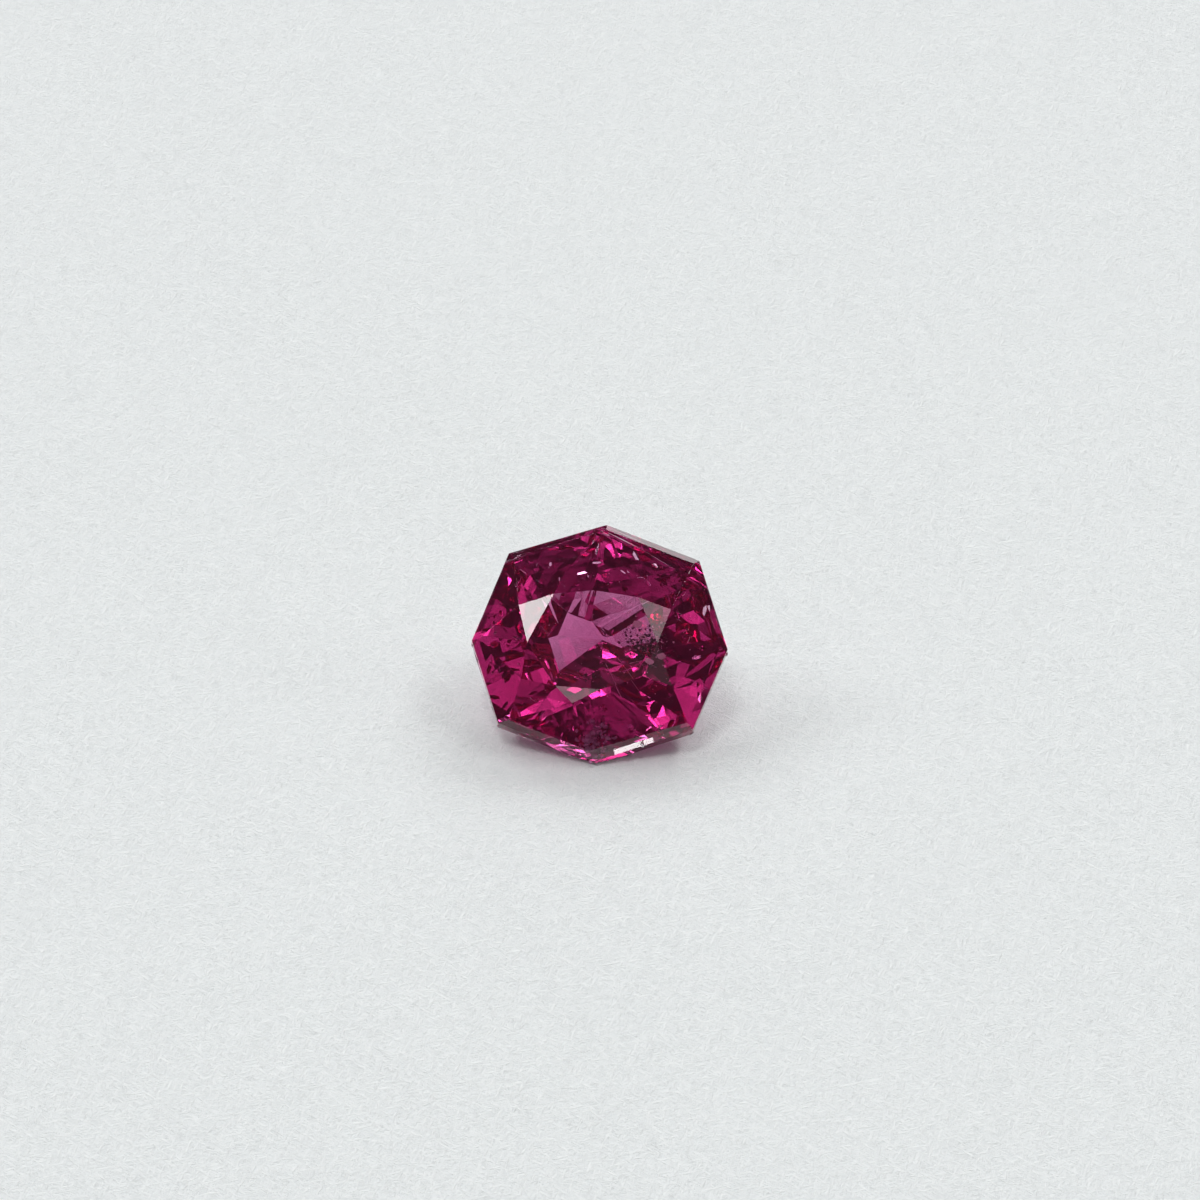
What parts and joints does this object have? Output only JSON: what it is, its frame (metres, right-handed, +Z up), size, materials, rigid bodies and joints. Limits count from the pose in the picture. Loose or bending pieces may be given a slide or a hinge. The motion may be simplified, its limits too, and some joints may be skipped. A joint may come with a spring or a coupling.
{
  "type": "garnet gemstone",
  "caption": "Loose octagonal garnet in a mixed cut, with a faceted crown over a stepped pavilion, lying on one broad facet of its pavilion.",
  "frame": {"origin": "centre of the stone's bounding box in plan, on the plane it lies on", "axes": "+Z up from the surface the stone lies on; the table leans towards -Y; X runs across the stone, parallel to the surface"},
  "size_m": [0.007, 0.0056, 0.0044],
  "materials": {
    "garnet": "polished facets, transparent purplish red"
  },
  "bodies": {
    "root": {"cut_garnet": "garnet"}
  },
  "joints": []
}
